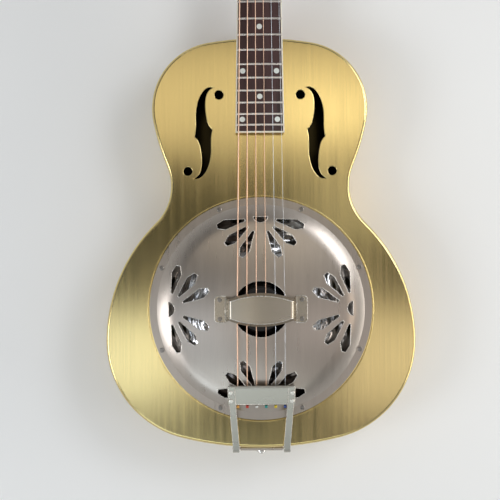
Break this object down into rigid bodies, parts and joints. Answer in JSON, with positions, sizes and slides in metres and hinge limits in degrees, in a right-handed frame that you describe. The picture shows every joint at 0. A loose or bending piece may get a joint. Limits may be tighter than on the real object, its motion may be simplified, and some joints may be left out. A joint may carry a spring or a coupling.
{
  "type": "resonator guitar",
  "caption": "Single-cone resonator guitar: brushed brass body with f-holes, pierced domed cover plate, hand rest, tailpiece and geared tuners.",
  "frame": {"origin": "on the flat back, straight under the middle of the cone and cover plate", "axes": "+Z out of the top, +Y along the strings towards the headstock, +X towards the treble strings"},
  "size_m": [0.365, 0.9828, 0.1162],
  "materials": {
    "brass_satin": "brushed brass body sheet, clear lacquered",
    "nickel_satin": "brushed nickel plate on pressed brass",
    "nickel_bright": "polished nickel on small hardware",
    "spun_aluminium": "bright spun aluminium",
    "mahogany": "mahogany, thin satin finish",
    "rosewood": "oiled dark rosewood",
    "maple": "bare maple",
    "ebonised": "black stained hardwood",
    "black_veneer": "black lacquered veneer",
    "binding_cream": "cream binding",
    "pearl": "pearloid inlay",
    "bone": "polished bone",
    "fret_wire": "nickel silver, polished crown",
    "bronze_string": "wound phosphor bronze",
    "steel_string": "plain tinned steel",
    "ball_ends": "plated ball ends, a colour for each string",
    "rod_steel": "plain steel",
    "brass_gear": "bright brass worm wheel"
  },
  "bodies": {
    "guitar": {"body_top": "brass_satin", "body_sides": "brass_satin", "body_back": "brass_satin", "soundwell": "nickel_satin", "cover_plate": "nickel_satin", "hand_rest": "nickel_satin", "tailpiece_bracket": "nickel_satin", "body_screws": "nickel_bright", "headstock_screws": "nickel_bright", "strap_button": "nickel_bright", "tuner_plates": "nickel_bright", "tuner_bushings": "nickel_bright", "cone": "spun_aluminium", "biscuit": "ebonised", "saddle": "maple", "neck": "mahogany", "neck_stick": "mahogany", "stick_props": "maple", "fretboard": "rosewood", "fretboard_binding": "binding_cream", "frets": "fret_wire", "position_markers": "pearl", "nut": "bone", "truss_rod": "rod_steel", "truss_rod_cover": "black_veneer", "headstock_veneer": "black_veneer", "string_balls": "ball_ends", "string_1": "steel_string", "string_2": "steel_string", "string_3": "bronze_string", "string_4": "bronze_string", "string_5": "bronze_string", "string_6": "bronze_string"},
    "tailpiece": {"tailpiece_frame": "nickel_satin", "tailpiece_rivets": "nickel_bright"},
    "truss_nut": {"truss_rod_nut": "rod_steel"},
    "tuner_6_button": {"tuner_worm_6": "nickel_bright", "tuner_button_6": "nickel_bright"},
    "tuner_6_post": {"tuner_post_6": "nickel_bright", "tuner_gear_6": "brass_gear"},
    "tuner_5_button": {"tuner_worm_5": "nickel_bright", "tuner_button_5": "nickel_bright"},
    "tuner_5_post": {"tuner_post_5": "nickel_bright", "tuner_gear_5": "brass_gear"},
    "tuner_4_button": {"tuner_worm_4": "nickel_bright", "tuner_button_4": "nickel_bright"},
    "tuner_4_post": {"tuner_post_4": "nickel_bright", "tuner_gear_4": "brass_gear"},
    "tuner_3_button": {"tuner_worm_3": "nickel_bright", "tuner_button_3": "nickel_bright"},
    "tuner_3_post": {"tuner_post_3": "nickel_bright", "tuner_gear_3": "brass_gear"},
    "tuner_2_button": {"tuner_worm_2": "nickel_bright", "tuner_button_2": "nickel_bright"},
    "tuner_2_post": {"tuner_post_2": "nickel_bright", "tuner_gear_2": "brass_gear"},
    "tuner_1_button": {"tuner_worm_1": "nickel_bright", "tuner_button_1": "nickel_bright"},
    "tuner_1_post": {"tuner_post_1": "nickel_bright", "tuner_gear_1": "brass_gear"}
  },
  "joints": [
    {"name": "tailpiece_hinge", "type": "hinge", "parent": "guitar", "child": "tailpiece", "pos_m": [0, -0.167, 0.07], "axis": [1, 0, 0], "range_deg": [0, 1.5]},
    {"name": "truss_rod_turn", "type": "hinge", "parent": "guitar", "child": "truss_nut", "pos_m": [0, 0.64971, 0.07067], "axis": [0, 0.9995, -0.0332], "range_deg": [-180, 180]},
    {"name": "tuner_6_turn", "type": "hinge", "parent": "guitar", "child": "tuner_6_button", "pos_m": [-0.023, 0.66704, 0.04999], "axis": [-1, 0, 0], "continuous": true},
    {"name": "tuner_6_wind", "type": "hinge", "parent": "guitar", "child": "tuner_6_post", "pos_m": [-0.023, 0.68093, 0.06735], "axis": [0, 0.274, 0.9617], "continuous": true},
    {"name": "tuner_5_turn", "type": "hinge", "parent": "guitar", "child": "tuner_5_button", "pos_m": [-0.0215, 0.70551, 0.03903], "axis": [-1, 0, 0], "continuous": true},
    {"name": "tuner_5_wind", "type": "hinge", "parent": "guitar", "child": "tuner_5_post", "pos_m": [-0.0215, 0.7194, 0.05639], "axis": [0, 0.274, 0.9617], "continuous": true},
    {"name": "tuner_4_turn", "type": "hinge", "parent": "guitar", "child": "tuner_4_button", "pos_m": [-0.02, 0.74398, 0.02808], "axis": [-1, 0, 0], "continuous": true},
    {"name": "tuner_4_wind", "type": "hinge", "parent": "guitar", "child": "tuner_4_post", "pos_m": [-0.02, 0.75787, 0.04544], "axis": [0, 0.274, 0.9617], "continuous": true},
    {"name": "tuner_3_turn", "type": "hinge", "parent": "guitar", "child": "tuner_3_button", "pos_m": [0.02, 0.74398, 0.02808], "axis": [1, 0, 0], "continuous": true},
    {"name": "tuner_3_wind", "type": "hinge", "parent": "guitar", "child": "tuner_3_post", "pos_m": [0.02, 0.75787, 0.04544], "axis": [0, 0.274, 0.9617], "continuous": true},
    {"name": "tuner_2_turn", "type": "hinge", "parent": "guitar", "child": "tuner_2_button", "pos_m": [0.0215, 0.70551, 0.03903], "axis": [1, 0, 0], "continuous": true},
    {"name": "tuner_2_wind", "type": "hinge", "parent": "guitar", "child": "tuner_2_post", "pos_m": [0.0215, 0.7194, 0.05639], "axis": [0, 0.274, 0.9617], "continuous": true},
    {"name": "tuner_1_turn", "type": "hinge", "parent": "guitar", "child": "tuner_1_button", "pos_m": [0.023, 0.66704, 0.04999], "axis": [1, 0, 0], "continuous": true},
    {"name": "tuner_1_wind", "type": "hinge", "parent": "guitar", "child": "tuner_1_post", "pos_m": [0.023, 0.68093, 0.06735], "axis": [0, 0.274, 0.9617], "continuous": true}
  ],
  "couplings": [
    {"joint": "tuner_6_wind", "follows": "tuner_6_turn", "ratio": -0.055556},
    {"joint": "tuner_5_wind", "follows": "tuner_5_turn", "ratio": -0.055556},
    {"joint": "tuner_4_wind", "follows": "tuner_4_turn", "ratio": -0.055556},
    {"joint": "tuner_3_wind", "follows": "tuner_3_turn", "ratio": -0.055556},
    {"joint": "tuner_2_wind", "follows": "tuner_2_turn", "ratio": -0.055556},
    {"joint": "tuner_1_wind", "follows": "tuner_1_turn", "ratio": -0.055556}
  ]
}
